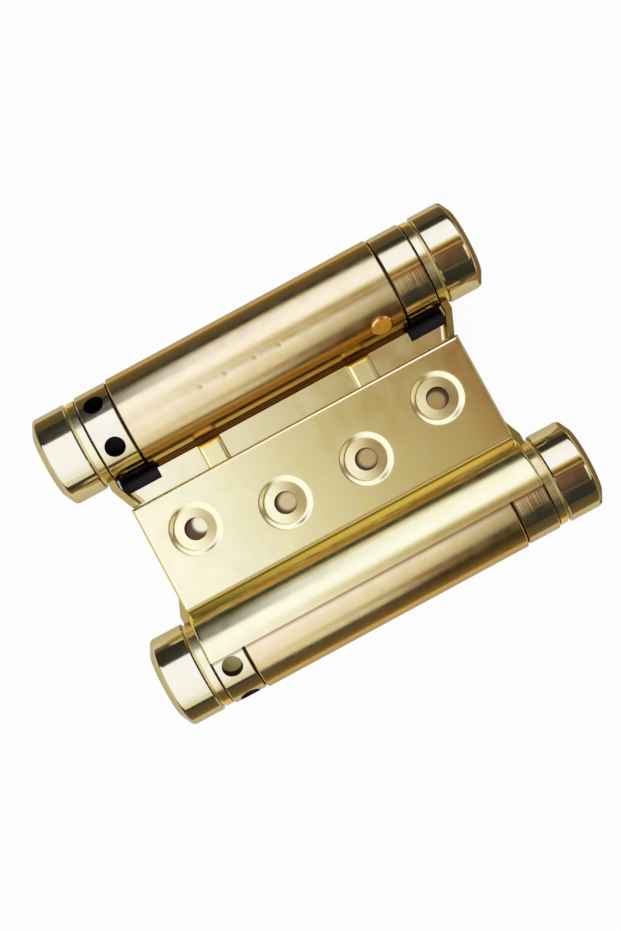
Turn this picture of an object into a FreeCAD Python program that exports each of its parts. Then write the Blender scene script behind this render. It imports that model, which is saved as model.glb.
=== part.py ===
import FreeCAD, Part
import math
import os
import re

import Sketcher

# Double-action spring hinge for a swing door, 75 mm size, lying flat.
# X runs along both pins, Y from the front pin to the rear pin, Z towards the front leaf.
# The origin is midway between the pins, in the middle of the web sheet.
# The rear half is the front half turned half a turn about X.

# Driving dimensions, in millimetres and degrees
SIZES = {
    # pins and barrels
    "spindle_radius": 4.0,
    "running_fit": 0.06,
    "seat_gap": 0.03,
    "tube_radius": 10.0,
    "tube_wall": 1.2,
    "tube_length": 59.8,
    "groove_width": 0.4,
    "edge_break": 0.2,
    # leaf sheet and its bend round the barrel
    "leaf_length": 75.0,
    "leaf_sheet": 1.2,
    "leaf_rise": 2.0,
    "leaf_reach": 34.6,
    "leaf_edge_round": 0.8,
    "crease_radius": 0.6,
    "wrap_angle": 91.0,
    # screw holes in shallow pressed dishes
    "hole_pitch": 18.5,
    "outer_hole_reach": 25.1,
    "inner_hole_reach": 21.1,
    "screw_hole_radius": 2.35,
    "dish_radius": 5.4,
    "dish_floor_radius": 4.5,
    "dish_depth": 0.38,
    "dish_swell": 0.14,
    "dish_round": 0.9,
    # web sheet, its corner straps and eyes
    "web_sheet": 1.5,
    "web_gap": 0.95,
    "web_inset": 0.4,
    "notch_place": 28.9,
    "notch_depth": 2.1,
    "leaf_play": 0.15,
    "eye_radius": 9.4,
    "strap_play": 0.4,
    "strap_lap": 2.75,
    "strap_height": 3.35,
    "strap_joggle": 2.05,
    "bend_radius": 1.2,
    # ribs pressed into the web
    "rib_place": 17.2,
    "rib_width": 5.2,
    "rib_height": 1.0,
    "rib_round": 0.9,
    "rib_inset": 1.0,
    "rib_end": 0.5,
    # collars at the barrel ends
    "collar_drop": 0.25,
    "collar_play": 0.35,
    "nose_length": 8.4,
    "tommy_radius": 2.15,
    "tommy_depth": 4.0,
    "tommy_count": 6,
    "front_tommy_angle": 46.0,
    "rear_tommy_angle": 54.0,
    # pin that holds the anchor collar in the tube
    "anchor_pin_radius": 2.3,
    "anchor_pin_inset": 5.2,
    "anchor_pin_angle": -40.0,
    "anchor_pin_proud": 0.5,
    "anchor_pin_depth": 3.0,
    "anchor_pin_chamfer": 0.35,
    # torsion spring of square wire
    "wire_size": 2.2,
    "spring_radius": 6.3,
    "spring_turns": 10,
    "spring_end_gap": 0.4,
    "tang_length": 2.6,
    "tang_play": 0.15,
    # end caps and the washers under them
    "washer_radius": 9.0,
    "washer_thickness": 0.6,
    "stack_gap": 0.05,
    "cap_radius": 9.7,
    "cap_length": 8.3,
    "cap_bevel_length": 1.35,
    "cap_bevel_drop": 2.5,
    "cap_shoulder_round": 1.0,
    "cap_face_round": 0.5,
    "cap_bore_depth": 5.0,
}

# Places that follow from the driving dimensions
PLACES = {
    "pin_spacing": "leaf_reach + strap_play + strap_lap + notch_depth + web_gap + tube_radius",
    "pin_offset": "pin_spacing / 2",
    "bore_radius": "spindle_radius + running_fit",
    "tube_bore": "tube_radius - tube_wall",
    "tube_end": "tube_length / 2",
    "wrap_radius": "tube_radius + seat_gap",
    "leaf_face": "leaf_rise + leaf_sheet",
    "outer_hole_place": "hole_pitch * 3 / 2",
    "inner_hole_place": "hole_pitch / 2",
    "dish_floor": "leaf_face - dish_depth",
    "eye_inner": "leaf_length / 2 + leaf_play",
    "eye_outer": "eye_inner + web_sheet",
    "web_edge": "pin_offset - tube_radius - web_gap",
    "web_end": "leaf_length / 2 - web_inset",
    "strap_foot": "leaf_reach - pin_offset + strap_play",
    "tongue_edge": "strap_foot + strap_lap",
    "strap_top": "pin_offset - eye_radius + web_sheet",
    "collar_radius": "tube_radius - collar_drop",
    "collar_inner": "tube_end + groove_width",
    "collar_outer": "eye_inner - collar_play",
    "nose_end": "collar_inner - nose_length",
    "anchor_pin_place": "tube_end - anchor_pin_inset",
    "anchor_pin_floor": "tube_bore - anchor_pin_depth",
    "spring_end": "nose_end - spring_end_gap - wire_size / 2",
    "washer_inner": "eye_outer + stack_gap",
    "cap_inner": "washer_inner + washer_thickness + stack_gap",
    "cap_outer": "cap_inner + cap_length",
    "spindle_end": "cap_inner + cap_bore_depth - stack_gap",
}

# Lengths closer than this are taken as equal
TOUCH = 1e-6

doc = FreeCAD.newDocument("swing_door_hinge")
sheet = doc.addObject("Spreadsheet::Sheet", "Sizes")
for row, (alias, value) in enumerate(SIZES.items(), start=1):
    sheet.set(f"A{row}", alias)
    sheet.set(f"B{row}", str(value))
    sheet.setAlias(f"B{row}", alias)
doc.recompute()

parts = []


# Small helpers for sheet-bound sketches and features

def formula(text):
    """A sheet expression, with each word of SIZES or PLACES spelled out."""
    def spell(match):
        word = match.group(0)
        if word in SIZES:
            return f"Sizes.{word}"
        if word in PLACES:
            return f"({formula(PLACES[word])})"
        return word
    return re.sub(r"[a-z_]+", spell, str(text))


def value_of(text):
    return float(sheet.evalExpression(formula(text)))


def new_body(label):
    body = doc.addObject("PartDesign::Body", label)
    body.Label = label
    parts.append(body)
    return body


def origin_feature(body, role):
    return next(item for item in body.Origin.OriginFeatures if item.Role == role)


def new_sketch(body, name, plane, lift="0"):
    """A sketch on an origin plane, lifted along its normal."""
    sketch = body.newObject("Sketcher::SketchObject", name)
    sketch.AttachmentSupport = [(origin_feature(body, plane), "")]
    sketch.MapMode = "FlatFace"
    sketch.setExpression("AttachmentOffset.Base.z", formula(lift))
    return sketch


def radial_sketch(body, name, angle, lift):
    """A sketch that faces out from the pin at an angle from +Y, at a height above the pin."""
    sketch = new_sketch(body, name, "XY_Plane", lift=f"({lift}) * sin(({angle}) * 1 deg)")
    about_x = FreeCAD.Rotation(FreeCAD.Vector(1, 0, 0), value_of(f"{angle} - 90"))
    sketch.AttachmentOffset = FreeCAD.Placement(FreeCAD.Vector(), about_x)
    sketch.setExpression("AttachmentOffset.Rotation.Angle", formula(f"{angle} - 90"))
    sketch.setExpression("AttachmentOffset.Base.y", formula(f"({lift}) * cos(({angle}) * 1 deg)"))
    return sketch


def bind(sketch, kind, *where, size):
    """A dimension of a sketch, held by an expression."""
    index = sketch.addConstraint(Sketcher.Constraint(kind, *where, value_of(size)))
    sketch.setExpression(f"Constraints[{index}]", formula(size))


def pin_point(sketch, geometry, position, across, up):
    bind(sketch, "DistanceX", -1, 1, geometry, position, size=across)
    bind(sketch, "DistanceY", -1, 1, geometry, position, size=up)


def add_polygon(sketch, corners):
    spots = [FreeCAD.Vector(value_of(across), value_of(up), 0) for across, up in corners]
    first = sketch.GeometryCount
    count = len(corners)
    for index, spot in enumerate(spots):
        sketch.addGeometry(Part.LineSegment(spot, spots[(index + 1) % count]))
    for index, (across, up) in enumerate(corners):
        after = first + (index + 1) % count
        sketch.addConstraint(Sketcher.Constraint("Coincident", first + index, 2, after, 1))
        pin_point(sketch, first + index, 1, across, up)


def add_circle(sketch, across, up, radius):
    centre = FreeCAD.Vector(value_of(across), value_of(up), 0)
    circle = Part.Circle(centre, FreeCAD.Vector(0, 0, 1), value_of(radius))
    index = sketch.addGeometry(circle)
    pin_point(sketch, index, 3, across, up)
    bind(sketch, "Radius", index, size=radius)


def add_square(sketch, across, up, side):
    low_x, high_x = f"{across} - ({side}) / 2", f"{across} + ({side}) / 2"
    low_y, high_y = f"{up} - ({side}) / 2", f"{up} + ({side}) / 2"
    add_polygon(sketch, [(low_x, low_y), (high_x, low_y), (high_x, high_y), (low_x, high_y)])


def add_feature(body, kind, name, sketch, length=None, taper=None, reverse=False, middle=False):
    """A pad or pocket whose length and taper follow the sheet."""
    feature = body.newObject(f"PartDesign::{kind}", name)
    feature.Profile = sketch
    feature.setExpression("Length", formula(length))
    feature.Reversed = reverse
    if middle:
        feature.SideType = "Symmetric"
    if taper is not None:
        feature.setExpression("TaperAngle", formula(taper))
    doc.recompute()
    return feature


def cut(body, *args, **options):
    """A pocket that has to take material away."""
    before = body.Shape.Volume
    feature = add_feature(body, "Pocket", *args, **options)
    if body.Shape.Volume > before - TOUCH:
        raise RuntimeError(f"{feature.Name} cuts nothing")
    return feature


def turned(body, name, corners):
    """A turned piece: a profile of (along X, radius) corners, spun about X."""
    sketch = new_sketch(body, f"{name}_profile", "XY_Plane")
    add_polygon(sketch, corners)
    spin = body.newObject("PartDesign::Revolution", name)
    spin.Profile = sketch
    spin.ReferenceAxis = (sketch, ["H_Axis"])
    spin.Angle = 360
    doc.recompute()
    return spin


def round_edges(body, name, radius, wanted):
    """A fillet on the edges of the body's last feature that pass the test wanted."""
    base = body.Tip
    names = [f"Edge{number}" for number, edge in enumerate(base.Shape.Edges, start=1) if wanted(edge)]
    fillet = body.newObject("PartDesign::Fillet", name)
    fillet.Base = (base, names)
    fillet.setExpression("Radius", formula(radius))
    doc.recompute()
    return fillet


def on_barrel(body, half, end=None):
    """Carry a piece from the pin's own frame to the front or rear barrel, at either end."""
    front = half == "front"
    turn = FreeCAD.Rotation(FreeCAD.Vector(1, 0, 0), 0 if front else 180)
    if end == "left":
        turn = FreeCAD.Rotation(FreeCAD.Vector(0, 0, 1), 180)
    body.Placement = FreeCAD.Placement(FreeCAD.Vector(), turn)
    body.setExpression("Placement.Base.y", formula("-pin_offset" if front else "pin_offset"))


# Web: a pressed sheet between the barrels, with a joggled strap and an eye at each corner

def make_web():
    body = new_body("web_plate")
    flat = new_sketch(body, "web_outline", "XY_Plane")
    add_polygon(flat, [
        ("notch_place", "web_edge"), ("-notch_place", "web_edge"),
        ("-notch_place", "tongue_edge"), ("-web_end", "tongue_edge"),
        ("-web_end", "-tongue_edge"), ("-notch_place", "-tongue_edge"),
        ("-notch_place", "-web_edge"), ("notch_place", "-web_edge"),
        ("notch_place", "-tongue_edge"), ("web_end", "-tongue_edge"),
        ("web_end", "tongue_edge"), ("notch_place", "tongue_edge"),
    ])
    add_feature(body, "Pad", "web_flat", flat, length="web_sheet", middle=True)
    for half, side in (("rear", ""), ("front", "-")):
        add_straps(body, half, side)
        add_ribs(body, half, side)
    for end, side in (("right", ""), ("left", "-")):
        add_eyes(body, end, side)
    return body


def add_straps(body, half, side):
    """The two straps beside one barrel, which step outwards from the web to the eyes."""
    sketch = new_sketch(body, f"{half}_strap_outline", "XY_Plane", lift=f"{side}(-web_sheet / 2)")
    for end in ("", "-"):
        add_polygon(sketch, [
            (f"{end}eye_inner", f"{side}strap_top"), (f"{end}eye_outer", f"{side}strap_top"),
            (f"{end}eye_outer", f"{side}web_edge"),
            (f"{end}(eye_outer - strap_joggle)", f"{side}strap_foot"),
            (f"{end}(eye_inner - strap_joggle)", f"{side}strap_foot"),
            (f"{end}eye_inner", f"{side}web_edge"),
        ])
    add_feature(body, "Pad", f"{half}_straps", sketch, length="strap_height", reverse=side == "-")
    level = value_of(f"{side}(web_sheet / 2)")
    round_edges(body, f"{half}_strap_bends", "bend_radius", lambda edge: is_strap_foot(edge, level))


def is_strap_foot(edge, level):
    """The inner corner between a strap and the face of the web that it stands on."""
    low, high = value_of("eye_inner - strap_joggle"), value_of("web_end")
    foot, tongue = value_of("strap_foot"), value_of("tongue_edge")
    spots = [vertex.Point for vertex in edge.Vertexes]
    on_face = all(abs(spot.z - level) < TOUCH for spot in spots)
    reach = sorted(abs(spot.y) for spot in spots)
    spans = abs(reach[0] - foot) < TOUCH and abs(reach[-1] - tongue) < TOUCH
    return on_face and spans and all(low - TOUCH < abs(spot.x) < high for spot in spots)


def add_eyes(body, end, side):
    """The two round eyes at one end, each bored for its spindle."""
    sketch = new_sketch(body, f"{end}_eye_outline", "YZ_Plane", lift=f"{side}eye_inner")
    for barrel in ("", "-"):
        add_circle(sketch, f"{barrel}pin_offset", "0", "eye_radius")
        add_circle(sketch, f"{barrel}pin_offset", "0", "bore_radius")
    add_feature(body, "Pad", f"{end}_eyes", sketch, length="web_sheet", reverse=side == "-")


def add_ribs(body, half, side):
    """Two pressed ribs that run in from one edge, raised on one face and hollow on the other."""
    crests = new_sketch(body, f"{half}_rib_outline", "XY_Plane", lift=f"{side}(web_sheet / 2)")
    hollows = new_sketch(body, f"{half}_hollow_outline", "XY_Plane", lift=f"{side}(-web_sheet / 2)")
    for end in ("", "-"):
        add_stadium(crests, f"{end}rib_place", "rib_width", side)
        add_stadium(hollows, f"{end}rib_place", "rib_width - 2 * rib_inset", side)
    add_feature(body, "Pad", f"{half}_ribs", crests, length="rib_height", reverse=side == "-")
    level = value_of(f"{side}(web_sheet / 2 + rib_height)")
    round_edges(body, f"{half}_rib_rounds", "rib_round", lambda edge: is_rib_rim(edge, level))
    cut(body, f"{half}_rib_hollows", hollows, length="rib_height", reverse=side == "")


def is_rib_rim(edge, level):
    """The top rim of a rib."""
    return all(abs(vertex.Z - level) < TOUCH for vertex in edge.Vertexes)


def add_stadium(sketch, across, width, side):
    """A strip with a round inner end, open to the web's edge."""
    half_width = f"({width}) / 2"
    centre_x, centre_y = value_of(across), value_of(f"{side}rib_end")
    reach_y = value_of(f"{side}web_edge")
    radius = value_of(half_width)
    up = 1 if side == "" else -1
    low, high = FreeCAD.Vector(centre_x - radius, centre_y), FreeCAD.Vector(centre_x + radius, centre_y)
    far_low, far_high = FreeCAD.Vector(low.x, reach_y), FreeCAD.Vector(high.x, reach_y)
    nose = FreeCAD.Vector(centre_x, centre_y - up * radius)
    first = sketch.GeometryCount
    sketch.addGeometry(Part.Arc(low, nose, high))
    sketch.addGeometry(Part.LineSegment(high, far_high))
    sketch.addGeometry(Part.LineSegment(far_high, far_low))
    sketch.addGeometry(Part.LineSegment(far_low, low))
    arc_ends = (1, 2) if side == "" else (2, 1)
    sketch.addConstraint(Sketcher.Constraint("Tangent", first, arc_ends[1], first + 1, 1))
    sketch.addConstraint(Sketcher.Constraint("Coincident", first + 1, 2, first + 2, 1))
    sketch.addConstraint(Sketcher.Constraint("Coincident", first + 2, 2, first + 3, 1))
    sketch.addConstraint(Sketcher.Constraint("Tangent", first + 3, 2, first, arc_ends[0]))
    sketch.addConstraint(Sketcher.Constraint("Vertical", first + 1))
    sketch.addConstraint(Sketcher.Constraint("Horizontal", first + 2))
    pin_point(sketch, first, 3, across, f"{side}rib_end")
    bind(sketch, "Radius", first, size=half_width)
    bind(sketch, "DistanceY", -1, 1, first + 1, 2, size=f"{side}web_edge")


# Leaf: a bent sheet, flat on the door and wrapped over the top of its barrel

def make_leaf(half):
    body = new_body(f"{half}_leaf")
    section = new_sketch(body, "leaf_section", "YZ_Plane")
    draw_leaf_section(section)
    add_feature(body, "Pad", "bent_sheet", section, length="leaf_length", middle=True)
    face, reach, end = value_of("leaf_face"), value_of("leaf_reach"), value_of("leaf_length / 2")
    round_edges(body, "rolled_edges", "leaf_edge_round",
                lambda edge: is_front_rim(edge, face, reach, end))
    mouths = new_sketch(body, "dish_circles", "XY_Plane", lift="leaf_face")
    add_hole_circles(mouths, "dish_radius")
    slope = "atan((dish_radius - dish_floor_radius) / dish_depth)"
    cut(body, "dishes", mouths, length="dish_depth", taper=f"-{slope}")
    floors = new_sketch(body, "dish_floor_circles", "XY_Plane", lift="dish_floor")
    add_hole_circles(floors, "dish_floor_radius")
    slope = "atan((dish_floor_radius - screw_hole_radius) / dish_swell)"
    add_feature(body, "Pad", "swollen_floors", floors, length="dish_swell", taper=f"-{slope}")
    levels = value_of("leaf_face"), value_of("dish_floor")
    round_edges(body, "soft_dishes", "dish_round", lambda edge: is_dish_circle(edge, levels))
    holes = new_sketch(body, "screw_hole_circles", "XY_Plane", lift="leaf_face")
    add_hole_circles(holes, "screw_hole_radius")
    cut(body, "screw_holes", holes, length="leaf_face")
    on_barrel(body, half)
    return body


def draw_leaf_section(sketch):
    """A sheet of even thickness: wrap arc, crease, then the flat out to the free edge."""
    inner, outer = value_of("wrap_radius"), value_of("wrap_radius + leaf_sheet")
    crease = value_of("crease_radius")
    back, face = value_of("leaf_rise"), value_of("leaf_face")
    reach = value_of("leaf_reach")
    centre_z = face + crease
    centre_y = ((outer + crease) ** 2 - centre_z ** 2) ** 0.5
    centre = FreeCAD.Vector(centre_y, centre_z, 0)
    up = FreeCAD.Vector(0, 0, 1)
    start = math.atan2(centre_z, centre_y)
    end = math.radians(value_of("wrap_angle"))

    def spot(radius, angle):
        return FreeCAD.Vector(radius * math.cos(angle), radius * math.sin(angle), 0)

    def arc(middle, radius, first, last):
        return Part.ArcOfCircle(Part.Circle(middle, up, radius), first, last)

    corner_face, corner_back = FreeCAD.Vector(reach, face, 0), FreeCAD.Vector(reach, back, 0)
    sketch.addGeometry([
        arc(FreeCAD.Vector(), inner, start, end),
        Part.LineSegment(spot(inner, end), spot(outer, end)),
        arc(FreeCAD.Vector(), outer, start, end),
        arc(centre, crease, start + math.pi, 1.5 * math.pi),
        Part.LineSegment(FreeCAD.Vector(centre_y, face, 0), corner_face),
        Part.LineSegment(corner_face, corner_back),
        Part.LineSegment(corner_back, FreeCAD.Vector(centre_y, back, 0)),
        arc(centre, crease + face - back, start + math.pi, 1.5 * math.pi),
    ], False)
    wrap_in, wrap_end, wrap_out, crease_in, flat_face, free_edge, flat_back, crease_out = range(8)
    for kind, *where in (
        ("Coincident", wrap_in, 2, wrap_end, 1), ("Coincident", wrap_end, 2, wrap_out, 2),
        ("Tangent", wrap_out, 1, crease_in, 1), ("Tangent", crease_in, 2, flat_face, 1),
        ("Coincident", flat_face, 2, free_edge, 1), ("Coincident", free_edge, 2, flat_back, 1),
        ("Tangent", flat_back, 2, crease_out, 2), ("Tangent", crease_out, 1, wrap_in, 1),
        ("Coincident", wrap_in, 3, -1, 1), ("Coincident", wrap_out, 3, -1, 1),
        ("Coincident", crease_out, 3, crease_in, 3), ("Vertical", free_edge),
        ("Horizontal", flat_back), ("PointOnObject", -1, 1, wrap_end),
    ):
        sketch.addConstraint(Sketcher.Constraint(kind, *where))
    bind(sketch, "Radius", wrap_in, size="wrap_radius")
    bind(sketch, "Radius", wrap_out, size="wrap_radius + leaf_sheet")
    bind(sketch, "Radius", crease_in, size="crease_radius")
    pin_point(sketch, free_edge, 2, "leaf_reach", "leaf_rise")
    index = sketch.addConstraint(Sketcher.Constraint("Angle", wrap_end, end))
    sketch.setExpression(f"Constraints[{index}]", formula("wrap_angle * 1 deg"))


def is_front_rim(edge, face, reach, end):
    """The sheet's outer rim on its front face, along the two ends and the free edge."""
    spots = [vertex.Point for vertex in edge.Vertexes]
    free_edge = all(abs(spot.z - face) < TOUCH and abs(spot.y - reach) < TOUCH for spot in spots)
    on_end = all(abs(abs(spot.x) - end) < TOUCH for spot in spots) and spots[0].x * spots[-1].x > 0
    skin = value_of("wrap_radius + leaf_sheet / 2")
    middle = edge.valueAt((edge.FirstParameter + edge.LastParameter) / 2)
    outside = (middle.y ** 2 + middle.z ** 2) ** 0.5 > skin
    above = middle.z > face - value_of("leaf_sheet / 2")
    across = abs((spots[0] - spots[-1]).Length - value_of("leaf_sheet")) < TOUCH
    return free_edge or (on_end and outside and above and not across)


def is_dish_circle(edge, levels):
    """A full circle at the mouth of a dish or round its floor."""
    closed = len(edge.Vertexes) == 1
    return closed and any(abs(edge.Vertexes[0].Z - level) < TOUCH for level in levels)


def add_hole_circles(sketch, radius):
    for side in ("", "-"):
        add_circle(sketch, f"{side}outer_hole_place", "outer_hole_reach", radius)
        add_circle(sketch, f"{side}inner_hole_place", "inner_hole_reach", radius)


# Barrel tube, with the hole for its anchor pin

def make_tube(half):
    body = new_body(f"{half}_barrel_tube")
    turned(body, "tube", [
        ("-tube_end", "tube_bore"), ("-tube_end", "tube_radius - edge_break"),
        ("edge_break - tube_end", "tube_radius"), ("tube_end - edge_break", "tube_radius"),
        ("tube_end", "tube_radius - edge_break"), ("tube_end", "tube_bore"),
    ])
    drill_for_anchor_pin(body)
    on_barrel(body, half)


def drill_for_anchor_pin(body):
    """A radial hole for the anchor pin, blind at its inner end."""
    floor = "anchor_pin_floor - seat_gap"
    sketch = radial_sketch(body, "anchor_pin_circle", "anchor_pin_angle", floor)
    add_circle(sketch, "anchor_pin_place", "0", "anchor_pin_radius + seat_gap")
    cut(body, "anchor_pin_hole", sketch, length="tube_radius", reverse=True)


# Collars: a turned head beside the tube and a nose inside it

def turn_collar(body, end, nose_gap):
    nose = f"tube_bore - {nose_gap}"
    turned(body, "collar", [
        (f"{end}collar_outer", "bore_radius"), (f"{end}collar_outer", "collar_radius - edge_break"),
        (f"{end}(collar_outer - edge_break)", "collar_radius"),
        (f"{end}(collar_inner + edge_break)", "collar_radius"),
        (f"{end}collar_inner", "collar_radius - edge_break"), (f"{end}collar_inner", nose),
        (f"{end}nose_end", nose), (f"{end}nose_end", "bore_radius"),
    ])
    slot = new_sketch(body, "tang_hole_outline", "YZ_Plane", lift=f"{end}nose_end")
    add_square(slot, "0", "spring_radius", "wire_size + 2 * tang_play")
    cut(body, "tang_hole", slot, length="tang_length + tang_play", reverse=end == "")


def make_adjusting_collar(half):
    body = new_body(f"{half}_adjusting_collar")
    turn_collar(body, "-", "running_fit")
    floor = radial_sketch(body, "tommy_circle", f"{half}_tommy_angle", "collar_radius - tommy_depth")
    add_circle(floor, "-(collar_inner + collar_outer) / 2", "0", "tommy_radius")
    hole = cut(body, "tommy_hole", floor, length="2 * tommy_depth", reverse=True)
    ring = body.newObject("PartDesign::PolarPattern", "tommy_ring")
    ring.Originals = [hole]
    ring.Axis = (origin_feature(body, "X_Axis"), [""])
    ring.Angle = 360
    ring.setExpression("Occurrences", formula("tommy_count"))
    body.Tip = ring
    doc.recompute()
    on_barrel(body, half)


def make_anchor_collar(half):
    body = new_body(f"{half}_anchor_collar")
    turn_collar(body, "", "seat_gap")
    drill_for_anchor_pin(body)
    on_barrel(body, half)


def make_anchor_pin(half):
    body = new_body(f"{half}_anchor_pin")
    sketch = radial_sketch(body, "pin_circle", "anchor_pin_angle", "anchor_pin_floor")
    add_circle(sketch, "anchor_pin_place", "0", "anchor_pin_radius")
    rod = add_feature(body, "Pad", "pin_rod", sketch,
                      length="tube_radius + anchor_pin_proud - anchor_pin_floor")
    tip_height = value_of("tube_radius + anchor_pin_proud - anchor_pin_chamfer")
    chamfer = body.newObject("PartDesign::Chamfer", "pin_tip")
    chamfer.Base = (rod, [f"Edge{number}" for number, edge in enumerate(rod.Shape.Edges, start=1)
                          if min(spot.Point.cross(FreeCAD.Vector(1, 0, 0)).Length
                                 for spot in edge.Vertexes) > tip_height])
    chamfer.setExpression("Size", formula("anchor_pin_chamfer"))
    doc.recompute()
    on_barrel(body, half)


# Torsion spring: square wire with a straight tang into each collar

def make_spring(half):
    body = new_body(f"{half}_torsion_spring")
    wire = new_sketch(body, "wire_section", "XZ_Plane")
    add_square(wire, "-spring_end", "spring_radius", "wire_size")
    coil = body.newObject("PartDesign::AdditiveHelix", "coil")
    coil.Profile = wire
    coil.ReferenceAxis = (origin_feature(body, "X_Axis"), [""])
    coil.Mode = "height-turns-angle"
    coil.setExpression("Height", formula("2 * spring_end"))
    coil.setExpression("Turns", formula("spring_turns"))
    doc.recompute()
    for end, side in (("left", "-"), ("right", "")):
        tang = new_sketch(body, f"{end}_tang_section", "YZ_Plane", lift=f"{side}spring_end")
        add_square(tang, "0", "spring_radius", "wire_size")
        add_feature(body, "Pad", f"{end}_tang", tang, reverse=side == "-",
                    length="wire_size / 2 + spring_end_gap + tang_length")
    on_barrel(body, half)


# Spindle, end caps and the washers under them

def make_spindle(half):
    body = new_body(f"{half}_spindle")
    turned(body, "rod", [
        ("-spindle_end", "0"), ("-spindle_end", "spindle_radius - edge_break"),
        ("edge_break - spindle_end", "spindle_radius"), ("spindle_end - edge_break", "spindle_radius"),
        ("spindle_end", "spindle_radius - edge_break"), ("spindle_end", "0"),
    ])
    on_barrel(body, half)


def make_cap(half, end):
    body = new_body(f"{half}_{end}_cap")
    turned(body, "cap", [
        ("cap_inner", "spindle_radius + seat_gap"), ("cap_inner", "cap_radius - edge_break"),
        ("cap_inner + edge_break", "cap_radius"), ("cap_outer - cap_bevel_length", "cap_radius"),
        ("cap_outer", "cap_radius - cap_bevel_drop"), ("cap_outer", "0"),
        ("cap_inner + cap_bore_depth", "0"),
        ("cap_inner + cap_bore_depth", "spindle_radius + seat_gap"),
    ])
    for name, place in (("cap_shoulder", "cap_outer - cap_bevel_length"), ("cap_face", "cap_outer")):
        along = value_of(place)
        round_edges(body, f"{name}_edge", f"{name}_round", lambda edge: is_ring_at(edge, along))
    on_barrel(body, half, end)


def is_ring_at(edge, along):
    """A full circle round the pin at a place along it."""
    return len(edge.Vertexes) == 1 and abs(edge.Vertexes[0].X - along) < TOUCH


def make_washer(half, end):
    body = new_body(f"{half}_{end}_washer")
    turned(body, "washer", [
        ("washer_inner", "bore_radius"), ("washer_inner", "washer_radius"),
        ("washer_inner + washer_thickness", "washer_radius"),
        ("washer_inner + washer_thickness", "bore_radius"),
    ])
    on_barrel(body, half, end)


make_web()
for half in ("front", "rear"):
    make_leaf(half)
    make_tube(half)
    make_adjusting_collar(half)
    make_anchor_collar(half)
    make_anchor_pin(half)
    make_spring(half)
    make_spindle(half)
    for end in ("left", "right"):
        make_cap(half, end)
        make_washer(half, end)
doc.recompute()

# Nothing is written unless every feature and solid is sound
for item in doc.Objects:
    if "Invalid" in item.State or "Error" in item.State:
        raise RuntimeError(f"{item.Label} failed: {item.State}")
for body in parts:
    if body.Shape.isNull() or not body.Shape.isValid() or len(body.Shape.Solids) != 1:
        raise RuntimeError(f"{body.Label} is not one sound solid")

os.makedirs("parts", exist_ok=True)
for body in parts:
    body.Shape.exportStep(f"parts/{body.Label}.step")
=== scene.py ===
import math
from functools import reduce

import bmesh
import bpy
from mathutils import Euler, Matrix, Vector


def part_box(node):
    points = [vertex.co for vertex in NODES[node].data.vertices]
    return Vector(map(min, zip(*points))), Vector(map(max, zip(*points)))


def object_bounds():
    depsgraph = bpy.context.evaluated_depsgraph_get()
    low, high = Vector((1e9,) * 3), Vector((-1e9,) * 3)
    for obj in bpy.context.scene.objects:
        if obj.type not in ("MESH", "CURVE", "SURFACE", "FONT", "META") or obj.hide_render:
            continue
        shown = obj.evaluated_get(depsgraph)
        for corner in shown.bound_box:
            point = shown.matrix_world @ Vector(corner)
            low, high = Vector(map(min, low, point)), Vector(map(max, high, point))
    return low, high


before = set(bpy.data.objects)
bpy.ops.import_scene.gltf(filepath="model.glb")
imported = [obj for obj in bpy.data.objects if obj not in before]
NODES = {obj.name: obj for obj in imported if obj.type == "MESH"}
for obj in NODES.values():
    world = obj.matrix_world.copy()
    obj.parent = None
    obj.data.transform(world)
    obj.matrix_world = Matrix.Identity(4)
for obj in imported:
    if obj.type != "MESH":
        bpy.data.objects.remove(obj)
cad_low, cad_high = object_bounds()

FLOOR_Z = cad_low.z

# Sizes of the part in metres, which place the tones on it. The rear half is the front half, turned half
# a turn about the long axis, so its y and z change sign.

TURNS = {"front": 1, "rear": -1}
spindle_low, spindle_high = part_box("rear_spindle")
PIN_OFFSET = (spindle_low.y + spindle_high.y) / 2
LEAF_FACE = 0.0032
WEB_FACE = 0.00075
RIB_PLACE = 0.0172
SCREW_HOLES = [(-0.02775, -0.0003), (-0.00925, -0.0043), (0.00925, -0.0043), (0.02775, -0.0003)]
# Middles of the painted shade rings under the screw holes
HOLE_SHADE_SPOTS = [(-0.02630, 0.0003), (-0.00880, -0.0041), (0.00965, -0.0041), (0.02735, -0.0006)]
PRESS_MARK_Y = 0.02375
PRESS_MARK_Z = 0.00987
PRESS_MARKS = [(x, PRESS_MARK_Y, PRESS_MARK_Z) for x in (-0.0130, -0.0075, -0.0008, 0.0047)]


# Node trees

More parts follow.
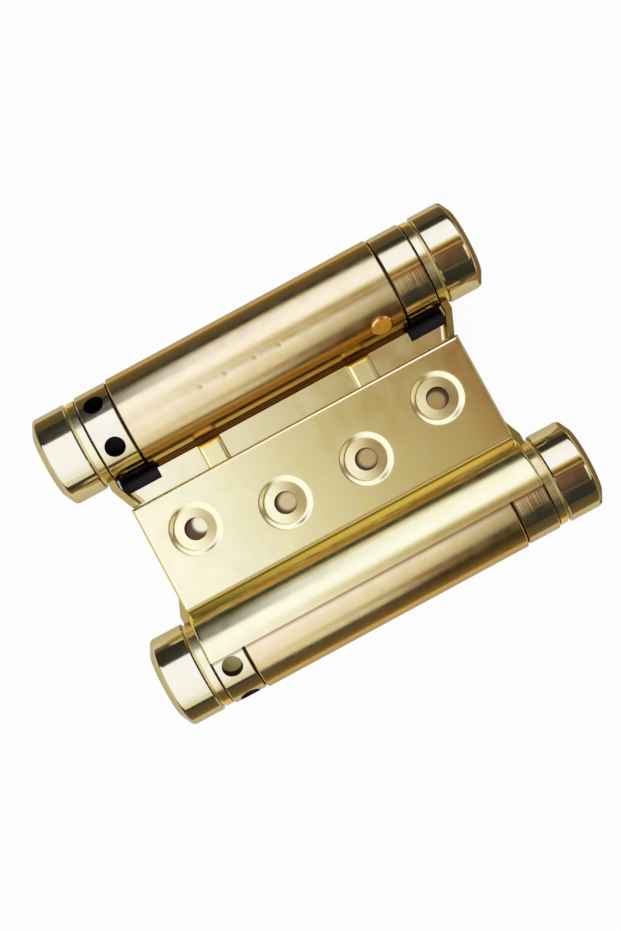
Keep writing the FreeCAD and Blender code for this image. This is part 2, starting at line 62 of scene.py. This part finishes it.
class Graph:
    """A material's node tree, with a short call for each kind of node in use."""

    def __init__(self, name):
        self.material = bpy.data.materials.new(name)
        self.material.use_nodes = True
        self.tree = self.material.node_tree
        self.tree.nodes.clear()

    def feed(self, socket, value):
        """Gives a socket another socket's value, or a number, vector or colour of its own."""
        if isinstance(value, bpy.types.NodeSocket):
            self.tree.links.new(value, socket)
        elif socket.type == "RGBA":
            socket.default_value = (*value, 1)
        else:
            socket.default_value = value

    def add(self, kind, output, inputs, **settings):
        """Adds a node with its settings and inputs, and returns one of its outputs."""
        node = self.tree.nodes.new("ShaderNode" + kind)
        for name, setting in settings.items():
            setattr(node, name, setting)
        for name, value in inputs.items():
            self.feed(node.inputs[name], value)
        return node.outputs[output]

    def split(self, vector):
        node = self.tree.nodes.new("ShaderNodeSeparateXYZ")
        self.feed(node.inputs["Vector"], vector)
        return node.outputs["X"], node.outputs["Y"], node.outputs["Z"]

    def maths(self, operation, *values):
        return self.add("Math", "Value", dict(enumerate(values)), operation=operation)

    def fold(self, operation, values):
        """One operation over a row of values, such as their product or the least of them."""
        return reduce(lambda first, second: self.maths(operation, first, second), values)

    def product(self, *values):
        return self.fold("MULTIPLY", values)

    def size(self, value):
        return self.maths("ABSOLUTE", value)

    def off(self, value, centre):
        """How far a value lies from a centre, on either side."""
        return self.size(self.maths("SUBTRACT", value, centre))

    def fade(self, value, none, full, least=0.0, most=1.0):
        """A smooth step from the least, at one bound of a value, to the most, at the other."""
        bounds = {"From Min": none, "From Max": full, "To Min": least, "To Max": most}
        return self.add("MapRange", "Result", {"Value": value, **bounds}, interpolation_type="SMOOTHSTEP")

    def band(self, value, rise, fall):
        """Full between two fades, and none outside them."""
        return self.product(self.fade(value, *rise), self.fade(value, *fall))

    def ramp(self, factor, stops):
        """Colours along a factor, each with its stop."""
        node = self.tree.nodes.new("ShaderNodeValToRGB")
        middle = 0.5
        while len(node.color_ramp.elements) < len(stops):
            node.color_ramp.elements.new(middle)
        for element, (stop, colour) in zip(node.color_ramp.elements, stops):
            element.position = stop
            element.color = (*colour, 1)
        self.feed(node.inputs["Fac"], factor)
        return node.outputs["Color"]

    def curve(self, value, low, high, stops):
        """A piecewise curve of a value between two bounds."""
        span = self.add("MapRange", "Result", {"Value": value, "From Min": low, "From Max": high})
        return self.ramp(span, [((stop - low) / (high - low), (level, level, level))
                                for stop, level in stops])

    def mix(self, kind, factor, first, second):
        """A colour mix. The numbers are the places of the colour sockets in the node."""
        return self.add("Mix", 2, {0: factor, 6: first, 7: second}, data_type="RGBA", blend_type=kind)

    def glow(self, colour):
        return self.add("Emission", "Emission", {"Color": colour, "Strength": 1.0})

    def finish(self, surface):
        """Ends the tree in a surface, and returns the material."""
        out = self.tree.nodes.new("ShaderNodeOutputMaterial")
        self.feed(out.inputs["Surface"], surface)
        return self.material


class Surface(Graph):
    """A node tree that knows where a point of the surface lies on its piece and which way it faces."""

    def __init__(self, name):
        super().__init__(name)
        coordinates = self.tree.nodes.new("ShaderNodeTexCoord")
        self.place = coordinates.outputs["Object"]
        self.x, self.y, self.z = self.split(self.place)
        _, self.facing_y, self.facing_z = self.split(coordinates.outputs["Normal"])

    def noise(self, stretch, detail):
        stretched = self.add("Mapping", "Vector", {"Vector": self.place, "Scale": stretch})
        return self.add("TexNoise", "Fac", {"Vector": stretched, "Scale": 1.0, "Detail": detail,
                                            "Roughness": 0.55})

    def nearest(self, spots):
        """The distance to the nearest of some spots."""
        return self.fold("MINIMUM", [self.add("VectorMath", "Value", {0: self.place, 1: spot},
                                              operation="DISTANCE") for spot in spots])


# Plated metal

# Painted shade by facing: how far a face looks up or down, from none to one, where it is all deep or all
# pale
DEEP_LIFT = 0.45
PALE_LIFT = 0.96

DRIFT_STRETCH = (70, 90, 90)
DRIFT_TONES = ((0.3, (0.965, 0.960, 0.945)), (0.7, (1.0, 1.0, 1.0)))
SMEAR_STRETCH = (320, 260, 260)

# How the tool lines are stretched: fine or coarse rings round a barrel, lines along it, or a plain grain
AROUND = (5200, 60, 60)
TURNED = (2600, 40, 40)
ALONG = (70, 4200, 4200)
GRAIN = (900, 900, 900)

# Tints at a glancing view
SHEET_EDGE = (0.84, 0.77, 0.58)
TUBE_EDGE = (0.54, 0.49, 0.42)
TURNED_EDGE = (0.66, 0.64, 0.58)

TURNED_PALE = (0.795, 0.720, 0.430)
# Painted shade: near black, for hollows and gaps that lie in shade
HOLLOW_SHADE = (0.036, 0.034, 0.030)
# Painted light: a lit gold floor for the front winding holes
LIT_HOLE_FLOOR = (0.950, 0.850, 0.330)


class Plating(Surface):
    """Plated metal with painted shade by facing: pale on the faces that look up or down, deeper gold on
    the flanks, with tone drift, haze and fine tool lines. Patches of another tone lie over it, placed by
    the half's turn."""

    def __init__(self, name, turn=1, *, pale, deep, rough, haze, lines, line_depth, edge=SHEET_EDGE):
        super().__init__(name)
        self.turn = turn
        self.edge = edge
        # Painted shade: pale where a face looks up or down, deeper gold on the flanks
        facing_shade = self.ramp(self.size(self.facing_z), ((DEEP_LIFT, deep), (PALE_LIFT, pale)))
        drift = self.ramp(self.noise(DRIFT_STRETCH, detail=2.0), DRIFT_TONES)
        self.colour = self.mix("MULTIPLY", 1.0, facing_shade, drift)
        smear = self.noise(SMEAR_STRETCH, detail=4.0)
        self.gloss = self.fade(smear, none=0.3, full=0.75, least=rough, most=rough + haze)
        self.normal = self.add("Bump", "Normal", {"Strength": 1.0, "Distance": line_depth,
                                                  "Height": self.noise(lines, detail=2.0)})

    def off_axis(self):
        """How far a point lies from the barrel's axis, towards the rear."""
        return self.maths("SUBTRACT", self.y, -self.turn * PIN_OFFSET)

    def patch(self, share, tone, dulling=0.0):
        """Lays another tone over a share of the surface, and dulls it there."""
        self.colour = self.mix("MIX", share, self.colour, tone)
        if dulling:
            self.gloss = self.maths("ADD", self.gloss, self.product(share, dulling))

    def press(self, spots, tone, depth):
        """Small dents with a darker middle."""
        near = self.nearest(spots)
        height = self.fade(near, none=0.0002, full=0.0009)
        self.normal = self.add("Bump", "Normal", {"Strength": 1.0, "Distance": depth, "Height": height,
                                                  "Normal": self.normal})
        self.patch(self.fade(near, none=0.0006, full=0.00015, most=0.6), tone)

    def done(self):
        return self.finish(self.add("BsdfPrincipled", "BSDF", {
            "Metallic": 1.0, "Specular Tint": self.edge, "Base Color": self.colour,
            "Roughness": self.gloss, "Normal": self.normal}))


# Where the patches lie

def near_axis(metal, full, none):
    """Within a radius of the barrel's axis, and nowhere beyond another."""
    across = metal.off_axis()
    reach = metal.maths("SQRT", metal.maths("ADD", metal.product(across, across),
                                            metal.product(metal.z, metal.z)))
    return metal.fade(reach, none, full)


def inner_corner(metal, start=0.0):
    """The corner behind the leaf's crease, from a distance off the middle outwards."""
    behind = metal.product(metal.facing_z, -metal.turn)
    return metal.product(metal.fade(behind, none=0.15, full=0.45),
                         metal.fade(metal.size(metal.off_axis()), none=0.0139, full=0.0132),
                         metal.fade(metal.size(metal.x), none=start - 0.0004, full=start))


def right_end(metal):
    """The flat face of the leaf, more and more towards the right end."""
    return metal.product(metal.fade(metal.x, none=0.0285, full=0.0375, most=0.7),
                         metal.fade(metal.size(metal.facing_z), none=0.990, full=0.998),
                         metal.fade(metal.size(metal.y), none=0.0140, full=0.0132))


def in_dishes(metal):
    """The dishes round the leaf's four screw holes."""
    near = metal.nearest([(x, metal.turn * y, metal.turn * LEAF_FACE) for x, y in SCREW_HOLES])
    return metal.product(metal.fade(metal.product(metal.facing_z, metal.turn), none=0.0, full=0.3),
                         metal.fade(near, none=0.0062, full=0.0052))


def at_crease(metal):
    """The narrow hollow along the leaf's crease, on the side of the flat face."""
    off_axis = metal.size(metal.off_axis())
    height = metal.product(metal.z, metal.turn)
    return metal.product(metal.band(off_axis, rise=(0.0103, 0.0106), fall=(0.0117, 0.0113)),
                         metal.band(height, rise=(0.0029, 0.0031), fall=(0.0046, 0.0041)))


def on_straps(metal):
    """The narrow corner straps of the web and the bends at their feet, short of the eyes."""
    along = metal.size(metal.x)
    bend = metal.product(metal.fade(along, none=0.0338, full=0.0344),
                         metal.fade(metal.size(metal.facing_z), none=0.98, full=0.88))
    strap = metal.fade(along, none=0.0354, full=0.0364)
    return metal.product(metal.band(metal.size(metal.y), rise=(0.0090, 0.0096), fall=(0.0180, 0.0170)),
                         metal.maths("MAXIMUM", bend, strap))


def on_ribs(metal):
    """The ribs that stand up from the web's faces."""
    return metal.product(metal.fade(metal.size(metal.z), none=0.0008, full=0.0009),
                         metal.fade(metal.off(metal.size(metal.x), RIB_PLACE), none=0.0027, full=0.0026))


def on_rib_ends(metal):
    """The rounded ends of the web's ribs, next to the barrels."""
    return metal.product(on_ribs(metal), metal.fade(metal.size(metal.y), none=0.0128, full=0.0139))


def under_leaf(metal):
    """The part of the web that a leaf lies over, short of the left end."""
    across = metal.product(metal.y, metal.maths("SIGN", metal.facing_z))
    return metal.product(metal.fade(metal.size(metal.facing_z), none=0.8, full=0.95),
                         metal.fade(across, none=0.0092, full=0.0080),
                         metal.fade(metal.x, none=-0.0270, full=-0.0180))


def painted_hole_shade(metal):
    """Painted shade: dark rings with a clean middle on the web's two faces, under the screw holes of the
    leaves.
    """
    faces = []
    for side in TURNS.values():
        near = metal.nearest([(x, side * y, side * WEB_FACE) for x, y in HOLE_SHADE_SPOTS])
        facing = metal.fade(metal.product(metal.facing_z, side), none=0.5, full=0.8)
        faces.append(metal.product(metal.band(near, rise=(0.0014, 0.0023), fall=(0.0052, 0.0034)), facing))
    return metal.fold("MAXIMUM", faces)


def beside_leaf_edge(metal):
    """The strip of a barrel next to the leaf's wrapped edge."""
    outward = metal.product(metal.off_axis(), -metal.turn)
    return metal.product(metal.band(outward, rise=(-0.0002, 0.0001), fall=(0.0011, 0.0004)),
                         metal.fade(metal.product(metal.z, metal.turn), none=0.0, full=0.002))


INNER = 1
OUTER = -1
WHOLE_LENGTH = (-0.05, -0.04)


def flank_streak(metal, flank, rise, fall, start=WHOLE_LENGTH):
    """Painted reflection: a streak along the tube's inner or outer flank, between two slopes of the
    surface.
    """
    turn = flank * metal.turn
    return metal.product(metal.band(metal.product(metal.facing_z, -turn), rise, fall),
                         metal.fade(metal.product(metal.facing_y, turn), none=0.15, full=0.35),
                         metal.fade(metal.x, *start))


# What each piece is made of

def web_finish():
    metal = Plating("web_satin_brass", pale=(0.820, 0.755, 0.415), deep=(0.800, 0.520, 0.140),
                    rough=0.17, haze=0.06, lines=GRAIN, line_depth=2.2e-6)
    # Painted shade on the web where a leaf lies over it
    metal.patch(under_leaf(metal), tone=(0.690, 0.560, 0.260), dulling=0.02)
    # Painted shade: dark rings under the screw holes, where the holes' dark walls would be mirrored
    metal.patch(painted_hole_shade(metal), tone=(0.130, 0.075, 0.036), dulling=0.10)
    # Painted shade on the straps and the bends at their feet
    metal.patch(on_straps(metal), tone=(0.420, 0.310, 0.080), dulling=0.05)
    metal.patch(on_ribs(metal), tone=(0.850, 0.790, 0.380), dulling=0.07)
    # Painted reflection: orange gold on the rounded rib ends, next to the barrels
    metal.patch(on_rib_ends(metal), tone=(0.950, 0.720, 0.120), dulling=0.05)
    return metal.done()


def leaf_finish(half):
    metal = Plating(f"{half}_leaf_satin_brass", TURNS[half],
                    pale=(0.830, 0.765, 0.405), deep=(0.720, 0.510, 0.085),
                    rough=0.16, haze=0.05, lines=GRAIN, line_depth=2.2e-6)
    # Painted shade: the flat face turns browner towards the right end
    metal.patch(right_end(metal), tone=(0.700, 0.480, 0.230))
    metal.patch(in_dishes(metal), tone=(0.850, 0.770, 0.390), dulling=0.06)
    # Painted shade in the hollow along the crease
    metal.patch(at_crease(metal), tone=(0.540, 0.410, 0.095), dulling=0.12)
    # Painted reflection: a bright gold glow in the corner behind the crease
    metal.patch(inner_corner(metal), tone=(0.940, 0.740, 0.420), dulling=0.04)
    # Painted shade: near black in the corner behind the crease, towards the ends
    metal.patch(inner_corner(metal, start=0.0288), tone=HOLLOW_SHADE, dulling=0.35)
    return metal.done()


def shade_beside_leaf(metal):
    metal.patch(beside_leaf_edge(metal), tone=(0.500, 0.360, 0.170), dulling=0.05)


def tube_finish(half):
    metal = Plating(f"{half}_tube_rose_brass", TURNS[half],
                    pale=(0.815, 0.685, 0.360), deep=(0.690, 0.450, 0.150),
                    rough=0.17, haze=0.07, lines=ALONG, line_depth=1.0e-6, edge=TUBE_EDGE)
    if half == "rear":
        metal.press(PRESS_MARKS, tone=(0.420, 0.310, 0.150), depth=1.1e-5)
    # Painted shade: near black in the hollows below the tube's outer face
    metal.patch(near_axis(metal, full=0.00950, none=0.00975), tone=HOLLOW_SHADE, dulling=0.35)
    shade_beside_leaf(metal)
    # Painted reflections: dark copper streaks along the flanks, beside the web, near the pin and on the
    # outside
    beside_web = flank_streak(metal, INNER, rise=(0.40, 0.54), fall=(0.80, 0.62))
    metal.patch(beside_web, tone=(0.470, 0.270, 0.085))
    near_pin = flank_streak(metal, INNER, rise=(0.50, 0.62), fall=(0.95, 0.78), start=(-0.004, 0.020))
    metal.patch(near_pin, tone=(0.490, 0.265, 0.075))
    outside = flank_streak(metal, OUTER, rise=(0.60, 0.72), fall=(0.96, 0.84), start=(-0.004, 0.014))
    metal.patch(outside, tone=(0.550, 0.345, 0.120))
    return metal.done()


def adjusting_collar_finish(half):
    metal = Plating(f"{half}_winding_collar_brass", TURNS[half],
                    pale=TURNED_PALE, deep=(0.590, 0.460, 0.200),
                    rough=0.10, haze=0.04, lines=AROUND, line_depth=0.8e-6, edge=TURNED_EDGE)
    shade_beside_leaf(metal)
    # Painted shade: near black in the hollows below the collar's outer face
    metal.patch(near_axis(metal, full=0.00925, none=0.00950), tone=HOLLOW_SHADE, dulling=0.35)
    # Painted light on the floor of the front winding holes, painted shade in the rear ones
    metal.patch(near_axis(metal, full=0.00620, none=0.00680),
                tone=LIT_HOLE_FLOOR if half == "front" else HOLLOW_SHADE, dulling=0.20)
    return metal.done()


def anchor_collar_finish(half):
    metal = Plating(f"{half}_anchor_collar_brass", TURNS[half],
                    pale=(0.785, 0.700, 0.405), deep=(0.580, 0.440, 0.190),
                    rough=0.10, haze=0.05, lines=TURNED, line_depth=1.0e-5, edge=TURNED_EDGE)
    shade_beside_leaf(metal)
    # Painted shade: near black in the hollows below the collar's outer face
    metal.patch(near_axis(metal, full=0.00925, none=0.00950), tone=HOLLOW_SHADE, dulling=0.35)
    return metal.done()


def anchor_pin_finish(half):
    return Plating(f"{half}_pin_copper_brass", pale=(0.800, 0.470, 0.150), deep=(0.820, 0.500, 0.110),
                   rough=0.20, haze=0.12, lines=GRAIN, line_depth=3e-6).done()


def spring_finish(half):
    return Plating(f"{half}_spring_oiled_steel", pale=(0.120, 0.120, 0.130), deep=(0.070, 0.070, 0.078),
                   rough=0.35, haze=0.12, lines=GRAIN, line_depth=3e-6).done()


def spindle_finish(half):
    return Plating(f"{half}_spindle_bright_steel", pale=(0.520, 0.510, 0.480), deep=(0.440, 0.430, 0.400),
                   rough=0.25, haze=0.10, lines=AROUND, line_depth=1e-6).done()


def cap_finish(half_and_end):
    return Plating(f"{half_and_end}_cap_polished_brass", pale=TURNED_PALE, deep=(0.590, 0.470, 0.210),
                   rough=0.085, haze=0.04, lines=AROUND, line_depth=0.6e-6, edge=TURNED_EDGE).done()


def washer_finish(half_and_end):
    return Plating(f"{half_and_end}_washer_plain_brass",
                   pale=(0.770, 0.630, 0.240), deep=(0.700, 0.540, 0.160),
                   rough=0.30, haze=0.12, lines=AROUND, line_depth=2e-6).done()


def give(name, material):
    """Gives a piece its material, in place of any that it came with."""
    materials = NODES[name].data.materials
    materials.clear()
    materials.append(material)


give("web_plate", web_finish())
for half in TURNS:
    give(f"{half}_leaf", leaf_finish(half))
    give(f"{half}_barrel_tube", tube_finish(half))
    give(f"{half}_adjusting_collar", adjusting_collar_finish(half))
    give(f"{half}_anchor_collar", anchor_collar_finish(half))
    give(f"{half}_anchor_pin", anchor_pin_finish(half))
    give(f"{half}_torsion_spring", spring_finish(half))
    give(f"{half}_spindle", spindle_finish(half))
    for half_and_end in (f"{half}_left", f"{half}_right"):
        give(f"{half_and_end}_cap", cap_finish(half_and_end))
        give(f"{half_and_end}_washer", washer_finish(half_and_end))


# Studio pieces

def stage_mesh(name, build, material, seen=False):
    mesh = bpy.data.meshes.new(name)
    shape = bmesh.new()
    build(shape)
    shape.to_mesh(mesh)
    shape.free()
    piece = bpy.data.objects.new(name, mesh)
    bpy.context.scene.collection.objects.link(piece)
    mesh.materials.append(material)
    piece.visible_camera = seen
    return piece


def add_face(shape, corners):
    shape.faces.new([shape.verts.new(corner) for corner in corners])


def risen_glow(name, tones):
    """A glow that follows how far up its piece a point lies."""
    graph = Graph(name)
    rise = graph.add("Attribute", "Fac", {}, attribute_name="rise")
    return graph.finish(graph.glow(graph.ramp(rise, tones)))


# Pale floor: white to the camera and in mirrors, apart from two strips under the gaps beside the web,
# which keep to the light that reaches them

FLOOR_RADIUS = 4
FLOOR_STEPS = 96
FLOOR_STRETCH = (3, 3, 3)
FLOOR_TONES = ((0.3, (0.87, 0.845, 0.79)), (0.7, (0.89, 0.865, 0.81)))
FLOOR_WHITENESS = 0.95
GAP_MIDDLE = 0.0185


def floor_paint():
    paint = Surface("floor_pale")
    tone = paint.ramp(paint.noise(FLOOR_STRETCH, detail=3.0), FLOOR_TONES)
    matt = paint.add("BsdfDiffuse", "BSDF", {"Color": tone})
    rays = paint.tree.nodes.new("ShaderNodeLightPath").outputs
    kinds = ("Is Camera Ray", "Is Glossy Ray", "Is Transmission Ray")
    direct = paint.fold("MAXIMUM", [rays[kind] for kind in kinds])
    past_ends = paint.fade(paint.size(paint.x), none=0.0388, full=0.0400)
    past_gaps = paint.fade(paint.off(paint.size(paint.y), GAP_MIDDLE), none=0.0035, full=0.0045)
    share = paint.product(direct, FLOOR_WHITENESS, paint.maths("MAXIMUM", past_ends, past_gaps))
    white = paint.glow((1, 1, 1))
    return paint.finish(paint.add("MixShader", "Shader", {"Fac": share, 1: matt, 2: white}))


def build_floor(shape):
    angles = [math.tau * step / FLOOR_STEPS for step in range(FLOOR_STEPS)]
    add_face(shape, [(FLOOR_RADIUS * math.cos(angle), FLOOR_RADIUS * math.sin(angle), FLOOR_Z)
                     for angle in angles])


stage_mesh("floor", build_floor, floor_paint(), seen=True)


# Wide overhead softbox with a warm shaded patch, made of three parts. Each part's shade is the product of
# a curve to the east and one to the north: two bounds in metres, and places between them with their shade.

BOX_HEIGHT = 1.5
BOX_HALF = 3.0
STRIP_EAST = (-0.15, 0.60, ((-0.095, 0.0), (-0.015, 0.28), (0.045, 0.55), (0.116, 0.63), (0.173, 0.71),
                            (0.225, 0.80), (0.50, 0.86)))
STRIP_NORTH = (-0.6, 0.8, ((-0.42, 0.0), (-0.20, 1.0), (-0.035, 1.0), (0.0, 0.52), (0.025, 0.52),
                           (0.08, 1.0), (0.22, 1.0), (0.55, 0.0)))
BODY_EAST = (-0.30, 0.60, ((-0.25, 0.05), (-0.10, 0.25), (-0.013, 0.45), (0.057, 0.67), (0.116, 0.82),
                           (0.173, 0.97), (0.25, 1.0)))
BODY_NORTH = (-2.6, 0.0, ((-2.2, 1.0), (-2.02, 0.92), (-1.78, 0.32), (-1.3, 0.28), (-0.85, 0.24),
                          (-0.40, 0.0)))
GAP_EAST = (0.0, 0.90, ((0.11, 0.0), (0.17, 0.68), (0.225, 0.97), (0.28, 1.0), (0.46, 1.0), (0.64, 0.2),
                        (0.80, 0.0)))
GAP_NORTH = (-2.2, 0.6, ((-1.6, 1.0), (-0.95, 0.90), (-0.30, 0.90), (0.10, 0.0)))
SHADE_TONES = ((0.0, (1.20, 1.28, 1.95)), (0.17, (0.98, 0.95, 0.75)), (0.50, (0.54, 0.44, 0.12)),
               (0.68, (0.34, 0.148, 0.06)), (0.85, (0.135, 0.060, 0.045)), (1.0, (0.033, 0.036, 0.038)))


def softbox_glow():
    box = Surface("softbox_glow")
    parts = ((STRIP_EAST, STRIP_NORTH), (BODY_EAST, BODY_NORTH), (GAP_EAST, GAP_NORTH))
    shade = box.fold("MAXIMUM", [box.product(box.curve(box.x, *east), box.curve(box.y, *north))
                                 for east, north in parts])
    return box.finish(box.glow(box.ramp(shade, SHADE_TONES)))


def build_softbox(shape):
    corners = [(-BOX_HALF, -BOX_HALF), (-BOX_HALF, BOX_HALF), (BOX_HALF, BOX_HALF), (BOX_HALF, -BOX_HALF)]
    add_face(shape, [(x, y, BOX_HEIGHT) for x, y in corners])


stage_mesh("softbox", build_softbox, softbox_glow())


# Dark surround near the horizon. Its top follows the compass: degrees from the east, and a height in metres

WALL_RADIUS = 1.0
WALL_STEPS = 720
SKYLINE = [(-180, 0.12), (-145, 0.14), (-120, 0.25), (-100, 0.25), (-96, 0.238), (-93, 0.21),
           (-89.5, 0.21), (-87.5, 0.42), (-86, 0.70), (-83, 1.10), (-79, 1.00), (-72, 0.50), (-50, 0.40),
           (-30, 0.32), (0, 0.28), (60, 0.45), (80, 0.45), (83.5, 0.43), (86.5, 0.33), (90, 0.32),
           (93.5, 0.30), (95, 0.55), (96.3, 1.02), (110, 1.06), (130, 0.60), (150, 0.20), (180, 0.12)]
SURROUND_TONES = ((0.0, (0.040, 0.040, 0.040)), (0.82, (0.036, 0.036, 0.036)),
                  (0.93, (0.12, 0.075, 0.047)), (1.0, (0.42, 0.31, 0.20)))


def skyline(degrees):
    for (start, low), (stop, high) in zip(SKYLINE, SKYLINE[1:]):
        if start <= degrees <= stop:
            return low + (high - low) * (degrees - start) / (stop - start)


def build_surround(shape):
    rise = shape.verts.layers.float.new("rise")
    ring = []
    for step in range(WALL_STEPS):
        degrees = -180 + 360 * step / WALL_STEPS
        x = WALL_RADIUS * math.cos(math.radians(degrees))
        y = WALL_RADIUS * math.sin(math.radians(degrees))
        low = shape.verts.new((x, y, FLOOR_Z))
        high = shape.verts.new((x, y, skyline(degrees)))
        high[rise] = 1.0
        ring.append((low, high))
    for (low, high), (next_low, next_high) in zip(ring, ring[1:] + ring[:1]):
        shape.faces.new((low, next_low, next_high, high))


stage_mesh("surround", build_surround, risen_glow("surround_dark", SURROUND_TONES))


# Brown flags, seen only in mirrors: a low upright strip beside each long side, and one on the floor beyond
# the right end

FLAG_OFFSET = 0.058
FLAG_HALF = 0.12
FLAG_TOP = 0.010
END_FLAG_START = 0.0500
END_FLAG_STOP = 0.0900
END_FLAG_HALF = 0.05
END_FLAG_LIFT = 0.0005
FLAG_TONES = ((0.0, (0.36, 0.26, 0.14)), (0.45, (0.19, 0.135, 0.075)), (0.9, (0.105, 0.098, 0.078)))


def build_long_flag(side):
    def build(shape):
        rise = shape.verts.layers.float.new("rise")
        low = [shape.verts.new((x, side * FLAG_OFFSET, FLOOR_Z)) for x in (-FLAG_HALF, FLAG_HALF)]
        high = [shape.verts.new((x, side * FLAG_OFFSET, FLAG_TOP)) for x in (FLAG_HALF, -FLAG_HALF)]
        for corner in high:
            corner[rise] = 1.0
        shape.faces.new(low + high)
    return build


def build_end_flag(shape):
    shape.verts.layers.float.new("rise")
    corners = [(END_FLAG_START, -END_FLAG_HALF), (END_FLAG_STOP, -END_FLAG_HALF),
               (END_FLAG_STOP, END_FLAG_HALF), (END_FLAG_START, END_FLAG_HALF)]
    add_face(shape, [(x, y, FLOOR_Z + END_FLAG_LIFT) for x, y in corners])


flag_brown = risen_glow("flag_brown", FLAG_TONES)
for name, build in (("front_flag", build_long_flag(-1)), ("rear_flag", build_long_flag(1)),
                    ("end_flag", build_end_flag)):
    flag = stage_mesh(name, build, flag_brown)
    flag.visible_diffuse = False
    flag.visible_shadow = False

world = bpy.data.worlds.new("pale_room")
bpy.context.scene.world = world
world.use_nodes = True
world.node_tree.nodes["Background"].inputs["Color"].default_value = (1, 1, 1, 1)
world.node_tree.nodes["Background"].inputs["Strength"].default_value = 1.0


# Camera where the photographer stood: nearly straight above, turned about the view line

LENS_MM = 71.461
SENSOR_MM = 36.0
NEAREST_SEEN = 0.01
CAMERA_PLACE = (-0.001754, -0.018781, 0.375957)
CAMERA_DEGREES = (2.5588, 1.3023, -28.385)

camera_data = bpy.data.cameras.new("camera")
camera_data.lens = LENS_MM
camera_data.sensor_width = SENSOR_MM
camera_data.clip_start = NEAREST_SEEN
camera = bpy.data.objects.new("camera", camera_data)
camera.location = CAMERA_PLACE
camera.rotation_euler = Euler([math.radians(angle) for angle in CAMERA_DEGREES], "XYZ")
bpy.context.scene.collection.objects.link(camera)
bpy.context.scene.camera = camera
bpy.context.scene.view_settings.view_transform = "Standard"
